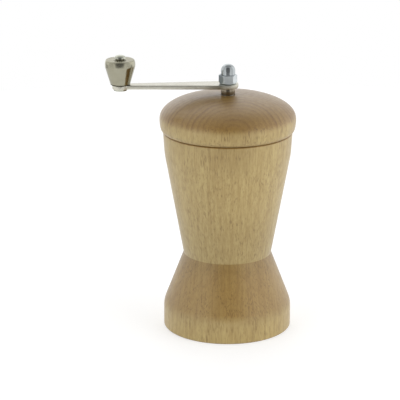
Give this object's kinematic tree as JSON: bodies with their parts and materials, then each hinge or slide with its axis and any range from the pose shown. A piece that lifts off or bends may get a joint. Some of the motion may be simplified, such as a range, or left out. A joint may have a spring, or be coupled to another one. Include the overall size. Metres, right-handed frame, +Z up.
{
  "type": "nutmeg grinder",
  "caption": "Wooden hand-cranked nutmeg grinder: turned waisted body, lift-off domed lid, flat crank with flared knob, spring-pressed claw over a slotted blade plate.",
  "frame": {"origin": "on the mill's axis, at the surface that the mill stands on", "axes": "+Z up along the mill's axis; the crank arm points along -X at rest; +Y is the back of the pictured view"},
  "size_m": [0.0942, 0.0676, 0.14],
  "materials": {
    "beech_body": "oiled, satin",
    "beech_lid": "oiled, satin",
    "nickel": "nickel plated",
    "zinc": "bright zinc plated",
    "steel": "plain stainless steel",
    "spring_steel": "drawn wire"
  },
  "bodies": {
    "mill_body": {"wooden_body": "beech_body", "blade_plate": "steel", "grating_blade": "steel", "blade_rivet_1": "steel", "blade_rivet_2": "steel", "base_screw_1": "steel", "base_screw_2": "steel", "base_screw_3": "steel"},
    "lid": {"wooden_lid": "beech_lid", "lid_bush": "steel", "bearing_plate": "steel", "lid_screw_1": "steel", "lid_screw_2": "steel", "lid_screw_3": "steel", "press_spring": "spring_steel"},
    "spring_follower": {"thrust_washer": "steel"},
    "crank": {"drive_shaft": "steel", "arm_sleeve": "nickel", "crank_arm": "nickel", "cap_nut": "zinc", "knob_pin": "nickel", "claw_plate": "steel", "claw_nut": "zinc"},
    "knob": {"crank_knob": "nickel"}
  },
  "joints": [
    {"name": "lid_lift", "type": "slide", "parent": "mill_body", "child": "lid", "axis": [0, 0, 1], "range_m": [0, 0.09]},
    {"name": "claw_press", "type": "slide", "parent": "lid", "child": "spring_follower", "axis": [0, 0, 1], "range_m": [0, 0.025], "stiffness_N_per_m": 300, "springref_m": -0.015, "deforming": ["press_spring"]},
    {"name": "crank_turn", "type": "hinge", "parent": "spring_follower", "child": "crank", "pos_m": [0, 0, 0.12], "axis": [0, 0, -1], "continuous": true},
    {"name": "knob_spin", "type": "hinge", "parent": "crank", "child": "knob", "pos_m": [-0.0529, 0, 0.1255], "axis": [0, 0, -1], "continuous": true}
  ]
}
